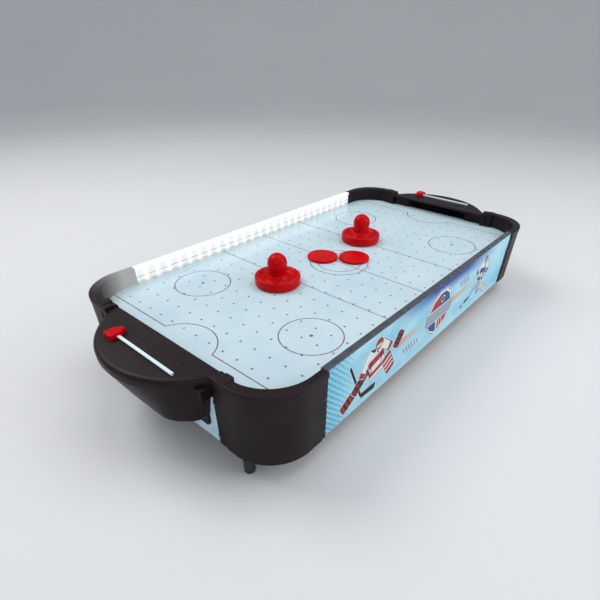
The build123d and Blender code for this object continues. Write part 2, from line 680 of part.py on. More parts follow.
def switch_body():
    """Bezel on the far panel with a box behind it that holds the rocker."""
    half_x, half_z = SWITCH_HALF
    bezel = block((SWITCH_X - half_x - 2, SWITCH_X + half_x + 2), (SIDE_FACE, SIDE_FACE + 1.4),
                  (SWITCH_Z - half_z - 2, SWITCH_Z + half_z + 2))
    body = fillet(bezel.edges().group_by(Axis.Y)[-1], 0.6)
    out_x, out_z = half_x - 0.2, half_z - 0.2
    body += block((SWITCH_X - out_x, SWITCH_X + out_x), (SIDE_FACE - 14, SIDE_FACE),
                  (SWITCH_Z - out_z, SWITCH_Z + out_z))
    in_x, in_z = half_x - 1.7, half_z - 1.7
    body -= block((SWITCH_X - in_x, SWITCH_X + in_x), (SIDE_FACE - 9, SIDE_FACE + 3),
                  (SWITCH_Z - in_z, SWITCH_Z + in_z))
    pin = half_z - 0.9
    pin_ends = [(SWITCH_X, ROCKER_PIVOT, SWITCH_Z + z) for z in (-pin, pin)]
    body -= rod(PIN_RADIUS + 0.05, *pin_ends)
    for side in (-1, 1):
        x = SWITCH_X + side * 4
        body += block((x - 1.2, x + 1.2), (SIDE_FACE - 20, SIDE_FACE - 14),
                      (SWITCH_Z - 0.4, SWITCH_Z + 0.4))
    return body


def switch_rocker():
    """Rocker with a shallow vee face, resting pressed at one end."""
    half, tall = SWITCH_HALF[0] - 2.2, SWITCH_HALF[1] - 2.0
    corners = [(-half, -2.2), (-half, 2.4), (0, 1.4), (half, 2.4), (half, -2.2), (0, -4.6)]
    section = fillet(make_face(Polyline(*corners, close=True)).vertices(), 0.5)
    body = Pos(0, 0, -tall) * extrude(section, 2 * tall) + cylinder(PIN_RADIUS, -tall - 0.9, tall + 0.9)
    return Pos(SWITCH_X, ROCKER_PIVOT, SWITCH_Z) * Rot(0, 0, ROCKER_TILT) * body


BOARD_PLACE = (95.0, 118.0)


def control_board():
    """Small circuit board that drives the lights, on four posts."""
    x, y = BOARD_PLACE
    low, high = BASE_TOP + 4, BASE_TOP + 5.6
    body = block((x - 20, x + 20), (y - 13, y + 13), (low, high))
    for a in (-16, 16):
        for b in (-9, 9):
            body += rod(1.8, (x + a, y + b, BASE_TOP), (x + a, y + b, low))
    body += block((x - 5, x + 5), (y - 2, y + 4), (high, high + 1.8))
    body += rod(3, (x + 11, y - 5, high), (x + 11, y - 5, high + 7.4))
    return body


# ---- internal leads ----------------------------------------------------------------
LEAD_RADIUS = 1.0


def lead(*points):
    """A two-core lead: straight runs joined by arcs as large as the runs allow."""
    corners = [Vector(*p) for p in points]
    runs = [b - a for a, b in zip(corners, corners[1:])]
    radii = []
    for a, b in zip(runs, runs[1:]):
        half_turn = radians(a.get_angle(b)) / 2
        radii.append(0.45 * min(a.length, b.length) / tan(half_turn))
    print("lead bends", [round(r, 1) for r in radii])
    path = FilletPolyline(*corners, radius=radii) if radii else Line(*corners)
    section = Plane(corners[0], z_dir=runs[0]) * Circle(LEAD_RADIUS)
    return sweep(section, path=path)


def fan_lead():
    x, y = BOARD_PLACE
    board = BASE_TOP + 6.9
    return lead((x - 14, y - 6, board), (x - 32, y - 14, board + 3), (x - 52, y - 34, 34), (46, 40, 48),
                (28, 20, 60), (14, 9, MOTOR_TOP + 1.4), (1.8, 7.5, MOTOR_TOP + 2.2))


def battery_lead():
    x, y = BOARD_PLACE
    return lead((138, 32.4, 27), (134, 48, 24), (122, 66, 23), (118, 84, 25), (107, 98, BASE_TOP + 6.6),
                (x + 2, y - 7, BASE_TOP + 6.9))


def switch_lead():
    x, y = BOARD_PLACE
    return lead((SWITCH_X - 4, SIDE_FACE - 20, SWITCH_Z - 1.8),
                (SWITCH_X - 6, SIDE_FACE - 30, SWITCH_Z - 6), (SWITCH_X - 18, SIDE_FACE - 38, 34),
                (x + 28, y + 2, 29), (x + 16, y + 1, BASE_TOP + 6.9))


def light_leads():
    """One lead up through the far upper strip, one across under the deck to the near side."""
    x, y = BOARD_PLACE
    top = DECK_TOP + 2.9
    far = lead((x - 12, y + 6, BASE_TOP + 6.9), (x - 25, y + 10, 35), (66, y + 19, 43),
               (LEAD_X, LEAD_Y, 50), (LEAD_X, LEAD_Y, top))
    near = lead((x - 18, y + 1, BASE_TOP + 6.9), (x - 40, y - 10, 26), (52, 74, 24), (60, 36, 22),
                (64, -10, 22), (60, -60, 22), (64, -100, 26), (60, -122, 34), (61, -138, 40),
                (LEAD_X, -LEAD_Y, 49), (LEAD_X, -LEAD_Y, top))
    return [far, near]


# ---- pushers and pucks -------------------------------------------------------------
PUSHERS = {"pusher_left": (-103.0, 19.3), "pusher_right": (86.9, 25.2)}
PUCKS = {"puck_left": (-4.0, 26.6), "puck_right": (23.3, -8.6)}
FELT = 0.8


def pusher(place):
    """Turned shape: ringed foot, dished deck and a round-topped post, hollow below."""
    base, wall = 11.9, 2.4
    stem, knob = 11.6, 12.3
    r = PUSHER_RADIUS
    top = PUSHER_HEIGHT
    outer = [
        Line((0, top), (0, FELT)),
        Line((0, FELT), (r - 0.9, FELT)),
        Line((r - 0.9, FELT), (r, FELT + 1.4)),
        Line((r, FELT + 1.4), (r, base - 1.5)),
        ThreePointArc((r, base - 1.5), (r - 0.45, base - 0.4), (r - 1.6, base)),
        Line((r - 1.6, base), (r - 3.0, base - 0.2)),
        Spline((r - 3.0, base - 0.2), (r - 6.5, base - 3.2), (r - 11.5, base - 4.2),
               (stem + 1.2, base + 0.8), (stem, base + 8.0), tangents=((-1, -0.2), (0, 1))),
        Spline((stem, base + 8.0), (knob, top - knob), tangents=((0, 1), (0, 1))),
        ThreePointArc((knob, top - knob), (knob * cos(pi / 4), top - knob + knob * sin(pi / 4)), (0, top)),
    ]
    body = revolve(make_face(Plane.XZ * (Curve() + outer)), Axis.Z)
    hollow = [(0, -1), (r - 5, -1), (r - 5, 4.6), (stem + 3.6, 4.6), (stem - wall, 16),
              (stem - wall, top - 10), (5.5, top - 3.4), (0, top - 3.0)]
    body -= revolve(make_face(Plane.XZ * Polyline(*hollow, close=True)), Axis.Z)
    return Pos(*place, DECK_TOP) * body


def pusher_felt(place):
    ring = extrude(Circle(PUSHER_RADIUS - 1.4) - Circle(PUSHER_RADIUS - 4.6), FELT)
    return Pos(*place, DECK_TOP) * ring


def puck(place):
    body = extrude(Circle(PUCK_RADIUS), PUCK_THICKNESS)
    return Pos(*place, DECK_TOP) * fillet(body.edges(), 0.7)


# ---- every piece -------------------------------------------------------------------
def main():
    os.makedirs("parts", exist_ok=True)
    write(playfield_board(), "playfield_board")
    write(base_board(), "base_board")
    write(deck_seal(), "deck_seal")
    for name, sign in SIDES.items():
        write(drilled(side_panel(sign)), "side_panel_" + name)
        write(Compound(battens(True, sign)), "battens_" + name)
        write(side_rail(sign), "side_rail_" + name)
        write(light_cover(sign), "light_cover_" + name)
        write(led_board(sign), "led_board_" + name)
        write(Compound(leds(sign)), "leds_" + name)
    cover, tray = goal_cover(), goal_tray()
    for name, sign in ENDS.items():
        panel = drilled(end_panel(sign))
        for start, end in goal_screw_axes():
            panel -= at_end(rod(SCREW_RADIUS, start, end), sign)
        write(panel, "end_panel_" + name)
        write(Compound(battens(False, sign)), "battens_" + name)
        write(at_end(cover, sign), "goal_cover_" + name)
        write(at_end(tray, sign), "goal_tray_" + name)
        write(at_end(score_rail(SCORE_SPAN[name]), sign), "score_rail_" + name)
        write(at_end(score_knob(SCORE_SPAN[name]), sign), "score_slider_" + name)
        write(Compound(goal_screws(sign)), "goal_screws_" + name)
        for side, side_sign in SIDES.items():
            write(corner_casing(sign, side_sign), "corner_" + side + "_" + name)
            write(foot(sign, side_sign), "foot_" + side + "_" + name)
    write(Compound(corner_screws()), "corner_screws")
    write(fan_shroud(), "fan_shroud")
    write(fan_motor(), "fan_motor")
    write(motor_shaft(), "motor_shaft")
    write(fan_impeller(), "fan_impeller")
    write(intake_grille(), "intake_grille")
    write(Compound(base_screws()), "base_screws")
    write(battery_box(), "battery_box")
    write(battery_door(), "battery_door")
    write(Compound(battery_cells()), "battery_cells")
    write(Compound(battery_contacts()), "battery_contacts")
    write(switch_body(), "switch_body")
    write(switch_rocker(), "switch_rocker")
    write(control_board(), "control_board")
    write(fan_lead(), "fan_lead")
    write(Compound([battery_lead(), switch_lead()]), "power_leads")
    write(Compound(light_leads()), "light_leads")
    for name, place in PUSHERS.items():
        write(pusher(place), name)
        write(pusher_felt(place), name + "_felt")
    for name, place in PUCKS.items():
        write(puck(place), name)


main()
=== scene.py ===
"""Looks of the tabletop air hockey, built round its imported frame. Metres, the frame's axes."""

import math

import bmesh
import bpy
from mathutils import Matrix, Vector


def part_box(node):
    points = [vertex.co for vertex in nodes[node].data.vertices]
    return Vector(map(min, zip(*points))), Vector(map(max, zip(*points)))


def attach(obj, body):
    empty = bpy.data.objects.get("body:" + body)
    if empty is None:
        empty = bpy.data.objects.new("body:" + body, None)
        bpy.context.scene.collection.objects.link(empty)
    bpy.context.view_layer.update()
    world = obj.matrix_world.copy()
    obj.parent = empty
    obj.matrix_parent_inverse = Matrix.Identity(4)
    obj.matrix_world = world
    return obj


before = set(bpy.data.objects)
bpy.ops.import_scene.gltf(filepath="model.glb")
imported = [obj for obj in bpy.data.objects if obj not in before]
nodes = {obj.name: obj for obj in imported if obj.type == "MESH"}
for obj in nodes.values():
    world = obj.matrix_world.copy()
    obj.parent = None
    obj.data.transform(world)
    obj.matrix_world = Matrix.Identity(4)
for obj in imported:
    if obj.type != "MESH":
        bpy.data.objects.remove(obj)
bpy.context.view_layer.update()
MM = 0.001

# ---- places read from the frame ----------------------------------------------------
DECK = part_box("playfield_board")[1].z / MM  # height of the playing surface, in mm
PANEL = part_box("side_panel_near")
PANEL_FACE = -PANEL[0].y / MM
PANEL_LOW = PANEL[0].z / MM
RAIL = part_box("side_rail_near")
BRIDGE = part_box("score_rail_left")[0].z / MM  # top of the goal plates
LED_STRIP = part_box("leds_far")


# ---- node helper -------------------------------------------------------------------
class Graph:
    """Short names for building one material's nodes. Lengths are in millimetres."""

    def __init__(self, name, colour, roughness=0.4, metallic=0.0, **shader):
        self.material = bpy.data.materials.new(name)
        self.material.use_nodes = True
        self.tree = self.material.node_tree
        self.shader = self.tree.nodes["Principled BSDF"]
        self.place = self.node("ShaderNodeTexCoord").outputs["Object"]
        self.mm = self.node("ShaderNodeVectorMath", {0: self.place, "Scale": 1 / MM},
                            operation="SCALE").outputs[0]
        parts = self.node("ShaderNodeSeparateXYZ", {0: self.mm}).outputs
        self.x, self.y, self.z = parts[0], parts[1], parts[2]
        self.give("Base Color", colour)
        self.give("Roughness", roughness)
        self.give("Metallic", metallic)
        for socket, value in shader.items():
            self.give(socket.replace("_", " "), value)

    def node(self, kind, inputs=None, **settings):
        made = self.tree.nodes.new(kind)
        for key, value in settings.items():
            setattr(made, key, value)
        for key, value in (inputs or {}).items():
            self.join(made.inputs[key], value)
        return made

    def join(self, socket, value):
        if isinstance(value, bpy.types.NodeSocket):
            self.tree.links.new(value, socket)
        elif isinstance(value, tuple) and len(value) == 3 and socket.type == "RGBA":
            socket.default_value = (*value, 1.0)
        else:
            socket.default_value = value

    def give(self, socket, value):
        self.join(self.shader.inputs[socket], value)

    def math(self, operation, a, b=0.0, c=0.0, clamp=False):
        made = self.node("ShaderNodeMath", {0: a, 1: b, 2: c}, operation=operation, use_clamp=clamp)
        return made.outputs[0]

    def total(self, first, *others):
        for other in others:
            first = self.math("ADD", first, other, clamp=True)
        return first

    def product(self, first, *others):
        for other in others:
            first = self.math("MULTIPLY", first, other)
        return first

    def ramp(self, value, low, high, to_low=0.0, to_high=1.0):
        made = self.node("ShaderNodeMapRange", {"Value": value, "From Min": low, "From Max": high,
                                                "To Min": to_low, "To Max": to_high})
        return made.outputs[0]

    def within(self, value, low, high, soft=0.1):
        """1 between low and high, falling to 0 over soft."""
        return self.product(self.ramp(value, low - soft, low + soft),
                            self.ramp(value, high + soft, high - soft))

    def distance(self, centre_x, centre_y, x=None, y=None):
        dx = self.math("SUBTRACT", self.x if x is None else x, centre_x)
        dy = self.math("SUBTRACT", self.y if y is None else y, centre_y)
        squares = self.math("ADD", self.math("POWER", dx, 2.0), self.math("POWER", dy, 2.0))
        return self.math("SQRT", squares)

    def line(self, value, at, width, soft=0.15):
        return self.within(value, at - width / 2, at + width / 2, soft)

    def noise(self, per_mm, detail=3.0, roughness=0.5, stretch=(1, 1, 1), distortion=0.0):
        place = self.node("ShaderNodeVectorMath", {0: self.mm, 1: stretch},
                          operation="MULTIPLY").outputs[0]
        made = self.node("ShaderNodeTexNoise", {"Vector": place, "Scale": per_mm, "Detail": detail,
                                                "Roughness": roughness, "Distortion": distortion})
        return made.outputs["Fac"]

    def cells(self, per_mm, feature="F1", output="Distance", randomness=1.0):
        made = self.node("ShaderNodeTexVoronoi",
                         {"Vector": self.mm, "Scale": per_mm, "Randomness": randomness},
                         feature=feature)
        return made.outputs[output]

    def mix(self, share, a, b, blend="MIX"):
        made = self.node("ShaderNodeMix", data_type="RGBA", blend_type=blend)
        self.join(made.inputs[0], share)
        self.join(made.inputs[6], a)
        self.join(made.inputs[7], b)
        return made.outputs[2]

    def bump(self, height, depth_mm, round_mm=0.0, strength=1.0):
        """Surface relief of that depth, with edges softened by round_mm."""
        inputs = {"Height": height, "Distance": depth_mm * MM, "Strength": strength}
        if round_mm:
            inputs["Normal"] = self.rounded(round_mm)
        self.give("Normal", self.node("ShaderNodeBump", inputs).outputs[0])

    def rounded(self, radius_mm):
        return self.node("ShaderNodeBevel", {"Radius": radius_mm * MM}, samples=4).outputs[0]


def paint(graph, *names):
    """Puts one finish on CAD nodes."""
    for name in names:
        data = nodes[name].data
        data.materials.clear()
        data.materials.append(graph.material)


# ---- moulded plastics --------------------------------------------------------------
def moulded(name, colour, roughness, grain_mm, depth_mm, round_mm=0.35, shade=0.25, **shader):
    """A moulding: slight flow marks in the colour, a spark-eroded grain, softened edges."""
    g = Graph(name, colour, roughness, **shader)
    flow = g.noise(0.018, detail=4.0, stretch=(1.0, 1.6, 1.0), distortion=0.6)
    fine = g.noise(1.0 / grain_mm, detail=2.0)
    dark = tuple(c * (1 - shade) for c in colour)
    light = tuple(min(1.0, c * (1 + shade)) for c in colour)
    g.give("Base Color", g.mix(g.ramp(flow, 0.3, 0.7), dark, light))
    patch = g.noise(0.05, detail=5.0, roughness=0.6)
    g.give("Roughness", g.math("ADD", g.ramp(patch, 0.3, 0.7, roughness - 0.05, roughness + 0.05),
                               g.ramp(fine, 0.3, 0.7, -0.03, 0.03)))
    g.bump(fine, depth_mm, round_mm)
    return g


def black_plastic():
    return moulded("black_plastic", (0.0140, 0.0070, 0.0088), 0.44, 0.45, 0.03, 0.5,
                   Specular_IOR_Level=0.17)


# Direction that the corner's painted glow faces.
TOWARDS_LIGHT = (0.62, -0.62, 0.48)  # inwards and up, from the corner beside the lit rail


def painted_glow_corner():
    """Black moulding with a painted glow on its faces near the end of the lit rail and turned
    towards it.
    """
    g = black_plastic()
    end = (RAIL[0].x / MM + 4, RAIL[1].y / -MM)
    near = g.ramp(g.distance(*end), 66.0, 8.0)
    normal = g.node("ShaderNodeNewGeometry").outputs["Normal"]
    facing = g.node("ShaderNodeVectorMath", {0: normal, 1: TOWARDS_LIGHT},
                    operation="DOT_PRODUCT").outputs["Value"]
    lit = g.product(g.ramp(facing, 0.0, 0.3), g.ramp(g.z, DECK - 3.0, DECK))
    # Painted light: emission above the deck, near the rail's end, on faces turned towards it; the
    # corner is no lamp.
    g.give("Emission Color", (0.86, 0.90, 0.90))
    g.give("Emission Strength", g.product(near, near, lit, 0.42))
    return g


RAIL_GREY = (0.058, 0.064, 0.082)


def rail_plastic():
    """The long rails are smoother than the corner mouldings and catch more light."""
    return moulded("rail_plastic", RAIL_GREY, 0.27, 0.7, 0.012, 0.5, Specular_IOR_Level=0.6)


def red_plastic():
    g = moulded("red_plastic", (0.56, 0.0008, 0.0045), 0.32, 1.6, 0.010, 0.3, 0.12,
                Specular_IOR_Level=0.05, Coat_Weight=0.10, Coat_Roughness=0.07)
    g.give("Subsurface Weight", 0.04)
    g.give("Subsurface Radius", (0.004, 0.0008, 0.0005))
    return g


def white_plastic():
    return moulded("white_plastic", (0.72, 0.86, 0.90), 0.25, 1.2, 0.01, 0.15, 0.04)


def rubber():
    return moulded("foot_rubber", (0.022, 0.019, 0.019), 0.62, 0.35, 0.06, 0.3, 0.3)


# ---- lit rail ----------------------------------------------------------------------
DIODES = 26
DIODE_WIDTH = 5.0


def glow_share(g, floor):
    """Brightness along the rail: floor between the diodes, 1 in front of each."""
    pitch = ((LED_STRIP[1].x - LED_STRIP[0].x) / MM - DIODE_WIDTH) / (DIODES - 1)
    turns = g.math("ADD", g.math("DIVIDE", g.x, pitch), 0.5)
    wave = g.math("COSINE", g.math("MULTIPLY", turns, 2 * math.pi))
    peak = g.math("POWER", g.ramp(wave, -1.0, 1.0), 3.0)
    return g.ramp(peak, 0.0, 1.0, floor, 1.0)


def light_cover(name, strength):
    """Frosted strip lit from behind, yellowish at its foot."""
    g = Graph(name, (0.90, 0.93, 0.95), 0.35)
    frost = g.noise(1.2, detail=2.0)
    height = g.ramp(g.z, DECK + 0.8, DECK + 5.0, 0.55, 1.0)
    foot = g.ramp(g.z, DECK + 4.5, DECK + 1.0)
    joint = g.line(g.z, DECK + 8.0, 1.4, 0.3)
    height = g.product(height, g.ramp(joint, 0.0, 1.0, 1.0, 0.45))
    foot = g.total(foot, joint)
    g.give("Base Color", g.mix(g.ramp(frost, 0.3, 0.7), (0.30, 0.32, 0.33), (0.36, 0.38, 0.38)))
    g.give("Emission Color", g.mix(foot, (0.98, 1.0, 1.0), (1.0, 0.95, 0.76)))
    g.give("Emission Strength", g.product(glow_share(g, 0.55), height, strength))
    g.bump(frost, 0.03)
    return g


def painted_glow_rail():
    """The far cap has a painted glow and a lighter frosted base on its inner face, and is black on
    its outer face.
    """
    g = Graph("painted_glow_rail", (0.9, 0.93, 0.95), 0.35)
    face = RAIL[0].y / -MM
    inside = g.ramp(g.y, face - 0.5, face - 0.9)
    frost = g.noise(1.2, detail=2.0)
    # Painted light: the inner face is lighter and glows by emission, brightest in front of each
    # diode; the cap is no lamp.
    g.give("Base Color", g.mix(inside, RAIL_GREY, (0.45, 0.48, 0.50)))
    g.give("Emission Color", (0.97, 0.99, 1.0))
    g.give("Emission Strength", g.product(glow_share(g, 0.78), inside, 0.85))
    g.bump(frost, 0.02, 0.4)
    return g


def diode():
    g = Graph("diode", (0.95, 0.93, 0.80), 0.25)
    lens = g.ramp(g.noise(0.8), 0.3, 0.7, 5.0, 7.0)
    g.give("Emission Color", (1.0, 0.97, 0.88))
    g.give("Emission Strength", lens)
    return g


# ---- boards and print --------------------------------------------------------------
def fibre_colour(g):
    """Raw hardboard: brown, with pale and dark fibres."""
    fibre = g.noise(0.9, detail=6.0, roughness=0.75, stretch=(0.35, 1.0, 1.0))
    speck = g.noise(3.0, detail=2.0)
    brown = g.mix(g.ramp(fibre, 0.3, 0.7), (0.19, 0.095, 0.042), (0.42, 0.26, 0.14))
    return g.mix(g.ramp(speck, 0.62, 0.72), brown, (0.55, 0.40, 0.26))


def fibreboard():
    g = Graph("fibreboard", (0.35, 0.22, 0.12), 0.75)
    g.give("Base Color", fibre_colour(g))
    g.bump(g.noise(1.5, detail=5.0, roughness=0.7), 0.12, 0.3)
    return g


FIELD = (0.50, 0.66, 0.735)
FIELD_PALE = (0.585, 0.715, 0.765)
INK_RED = (0.150, 0.020, 0.034)
INK_GREY = (0.120, 0.105, 0.130)
SPOT_X, SPOT_Y, SPOT_RADIUS = 166.2, 89.9, 34.6
ZONE_X = 83.8
GOAL_LINE_X = 256.5
CREASE_X, CREASE_RADIUS, CREASE_HALF = 270.5, 41.4, 38.3
CENTRE_RADII = (40.2, 30.2)
LINE_WIDTH = 1.25
HOLE_PITCH = (23.4, 21.1)


def playfield():
    """Lacquered print of a rink over raw board."""
    g = Graph("playfield_print", FIELD, 0.22, Specular_IOR_Level=0.3)
    across = g.math("ABSOLUTE", g.x)
    along = g.math("ABSOLUTE", g.y)
    spot = g.distance(SPOT_X, SPOT_Y, across, along)
    crease = g.distance(CREASE_X, 0.0, across, g.y)
    middle = g.distance(0.0, 0.0)
    in_play = g.ramp(across, GOAL_LINE_X + 0.4, GOAL_LINE_X - 0.1)
    beside_crease = g.ramp(along, CREASE_HALF - 0.2, CREASE_HALF + 0.2)
    red = g.total(
        g.line(spot, SPOT_RADIUS, LINE_WIDTH),
        g.ramp(spot, 2.3, 1.9),
        g.product(g.line(crease, CREASE_RADIUS, LINE_WIDTH), in_play),
        g.product(g.line(across, GOAL_LINE_X, LINE_WIDTH), beside_crease),
    )
    grey = g.total(
        g.line(across, ZONE_X, LINE_WIDTH),
        g.line(across, 0.0, LINE_WIDTH),
        *[g.line(middle, radius, LINE_WIDTH) for radius in CENTRE_RADII],
    )
    cloud = g.noise(0.012, detail=4.0, roughness=0.6)
    print_grain = g.noise(2.2, detail=2.0)
    field = g.mix(g.ramp(cloud, 0.35, 0.65), FIELD, FIELD_PALE)
    field = g.mix(g.ramp(print_grain, 0.35, 0.75, 0.0, 0.12), field, (0.50, 0.70, 0.80))
    column = g.math("DIVIDE", g.x, HOLE_PITCH[0])
    row = g.math("ADD", g.math("DIVIDE", g.y, HOLE_PITCH[1]), 0.5)
    hole_x = g.product(g.math("SUBTRACT", g.math("FRACT", column), 0.5), HOLE_PITCH[0])
    hole_y = g.product(g.math("SUBTRACT", g.math("FRACT", row), 0.5), HOLE_PITCH[1])
    # Painted shade: a darker ring of the field's blue round each air hole, within the play area.
    hole_rim_painted_shade = g.product(g.ramp(g.distance(0.0, 0.0, hole_x, hole_y), 2.0, 1.0),
                            g.ramp(across, 252, 250), 0.8)
    field = g.mix(hole_rim_painted_shade, field, (0.16, 0.29, 0.33))
    wear = g.ramp(g.noise(0.6, detail=3.0), 0.3, 0.6, 0.72, 1.0)
    field = g.mix(g.product(grey, wear), field, INK_GREY)
    field = g.mix(g.product(red, wear), field, INK_RED)
    printed = g.ramp(g.z, DECK - 0.35, DECK - 0.15)
    g.give("Base Color", g.mix(printed, fibre_colour(g), field))
    scuff = g.noise(0.35, detail=6.0, roughness=0.7, stretch=(1.0, 0.25, 1.0))
    g.give("Roughness", g.ramp(scuff, 0.3, 0.75, 0.17, 0.30))
    g.bump(g.noise(0.25, detail=2.0), 0.02, 0.25)
    return g


SKY = (0.25, 0.62, 0.80)
SKY_PALE = (0.50, 0.82, 0.92)
HALFTONE_PITCH = 5.0


def panel_print(turned=False):
    """Printed film: pale blue ice with halftone at one end and slanted bands at the other."""
    g = Graph("panel_print", SKY, 0.34, Specular_IOR_Level=0.15)
    u = g.math("MULTIPLY", g.x, -1.0) if turned else g.x
    outer = g.ramp(g.math("ABSOLUTE", g.y), PANEL_FACE - 0.3, PANEL_FACE - 0.1)
    cloud = g.noise(0.016, detail=5.0, roughness=0.62, stretch=(1.0, 1.0, 1.8))
    sky = g.mix(g.ramp(cloud, 0.32, 0.66), SKY, SKY_PALE)
    slant = g.math("ADD", u, g.product(g.z, 0.55))
    bands = g.ramp(g.math("SINE", g.product(slant, 0.42)), -0.2, 0.5)
    sky = g.mix(g.product(bands, g.ramp(u, 176, 205), 0.6), sky, (0.20, 0.62, 0.84))
    low_band = g.ramp(g.z, PANEL_LOW + 9, PANEL_LOW, 0.0, 0.6)
    sky = g.mix(low_band, sky, SKY_PALE)
    patch = g.ramp(u, -176, -200)
    sky = g.mix(g.product(patch, 0.55), sky, (0.22, 0.66, 0.86))
    row = g.math("MULTIPLY", g.math("ADD", u, g.z), 0.7071)
    column = g.math("MULTIPLY", g.math("SUBTRACT", u, g.z), 0.7071)
    cell_x = g.math("SUBTRACT", g.math("FRACT", g.math("DIVIDE", row, HALFTONE_PITCH)), 0.5)
    cell_y = g.math("SUBTRACT", g.math("FRACT", g.math("DIVIDE", column, HALFTONE_PITCH)), 0.5)
    dot = g.product(g.distance(0.0, 0.0, cell_x, cell_y), HALFTONE_PITCH)
    size = g.ramp(u, -176, -214, 0.5, 1.9)
    halftone = g.ramp(g.math("SUBTRACT", dot, size), 0.1, -0.1)
    sky = g.mix(g.product(halftone, g.ramp(u, -178, -184), 0.8), sky, (0.05, 0.27, 0.46))
    # A deep blue band darkens the panel's top under the middle of the rail, fading downwards.
    under_rail = g.product(g.ramp(g.z, PANEL_LOW + 62, PANEL_LOW + 78), g.within(u, -70, 120, 50))
    sky = g.mix(under_rail, sky, (0.004, 0.035, 0.34))
    g.give("Base Color", g.mix(outer, fibre_colour(g), sky))
    g.bump(g.noise(0.5, detail=2.0), 0.015, 0.25)
    return g


def end_print():
    """Film of the end panels: the same ice with faint slanted bands."""
    g = Graph("end_print", SKY_PALE, 0.34, Specular_IOR_Level=0.15)
    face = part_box("end_panel_right")[1].x / MM
    outer = g.ramp(g.math("ABSOLUTE", g.x), face - 0.3, face - 0.1)
    cloud = g.noise(0.02, detail=5.0, roughness=0.6)
    slant = g.math("SINE", g.product(g.math("ADD", g.y, g.product(g.z, 0.8)), 0.35))
    sky = g.mix(g.ramp(cloud, 0.3, 0.7), (0.50, 0.78, 0.90), (0.70, 0.88, 0.94))
    sky = g.mix(g.ramp(slant, 0.3, 0.8, 0.0, 0.25), sky, (0.34, 0.70, 0.86))
    mouth = g.ramp(g.math("ABSOLUTE", g.y), 64, 62)
    g.give("Base Color", g.mix(outer, g.mix(mouth, fibre_colour(g), (0.010, 0.008, 0.008)), sky))
    g.bump(g.noise(0.5, detail=2.0), 0.015, 0.25)
    return g


def ink(name, colour):
    """Screen ink of the panels' motifs."""
    g = Graph("ink_" + name, colour, 0.36, Specular_IOR_Level=0.12)
    grain = g.noise(1.4, detail=3.0)
    dark = tuple(c * 0.82 for c in colour)
    g.give("Base Color", g.mix(g.ramp(grain, 0.3, 0.7), dark, colour))
    g.give("Roughness", g.ramp(grain, 0.3, 0.7, 0.32, 0.42))
    return g


# ---- metals, foam, felt and electrics ----------------------------------------------
def metal(name, colour, roughness, brushed=(1, 1, 1)):
    g = Graph(name, colour, roughness, metallic=1.0)
    streak = g.noise(2.5, detail=4.0, stretch=brushed)
    g.give("Base Color", g.mix(g.ramp(streak, 0.3, 0.7), tuple(c * 0.8 for c in colour), colour))
    g.give("Roughness", g.ramp(streak, 0.3, 0.7, roughness - 0.08, roughness + 0.1))
    g.bump(streak, 0.02, 0.12)
    return g


def foam():
    g = Graph("foam", (0.02, 0.02, 0.022), 0.9)
    pores = g.cells(1.6)
    g.bump(pores, 0.25)
    g.give("Base Color", g.mix(g.ramp(pores, 0.0, 0.7), (0.008, 0.008, 0.009),
                               (0.035, 0.035, 0.038)))
    return g


def felt():
    g = Graph("felt", (0.03, 0.03, 0.032), 0.95, Sheen_Weight=0.4, Sheen_Roughness=0.5)
    fuzz = g.noise(3.2, detail=5.0, roughness=0.8, distortion=1.2)
    g.give("Base Color", g.mix(g.ramp(fuzz, 0.35, 0.65), (0.015, 0.015, 0.017),
                               (0.075, 0.075, 0.08)))
    g.bump(fuzz, 0.3)
    return g


def solder_mask(name, colour, trace):
    """Circuit board with lighter tracks under the mask."""
    g = Graph(name, colour, 0.35, Coat_Weight=0.4, Coat_Roughness=0.12)
    tracks = g.total(
        g.ramp(g.math("SINE", g.product(g.y, 2.4)), 0.72, 0.8),
        g.ramp(g.math("SINE", g.product(g.x, 0.9)), 0.93, 0.96),
    )
    g.give("Base Color", g.mix(g.product(tracks, 0.6), colour, trace))
    g.bump(tracks, 0.03, 0.1)
    return g


def cell_wrap():
    """Shrink sleeve with a copper-coloured shoulder band and bright end caps."""
    g = Graph("cell_wrap", (0.02, 0.05, 0.06), 0.28)
    end = g.math("ABSOLUTE", g.y)
    cap = g.ramp(end, 24.5, 24.8)
    band = g.within(end, 15.5, 24.5, 0.1)
    shade = g.noise(0.3, detail=2.0)
    sleeve = g.mix(g.ramp(shade, 0.3, 0.7), (0.016, 0.05, 0.055), (0.03, 0.075, 0.08))
    g.give("Base Color", g.mix(cap, g.mix(band, sleeve, (0.60, 0.30, 0.12)), (0.62, 0.62, 0.60)))
    g.give("Metallic", g.ramp(end, 24.5, 24.8, 0.0, 1.0))
    return g


def wire():
    g = Graph("wire_insulation", (0.3, 0.01, 0.01), 0.4)
    g.give("Base Color", g.mix(g.ramp(g.noise(0.4), 0.3, 0.7), (0.22, 0.006, 0.008),
                               (0.36, 0.015, 0.014)))
    g.bump(g.noise(3.0, detail=2.0), 0.03)
    return g


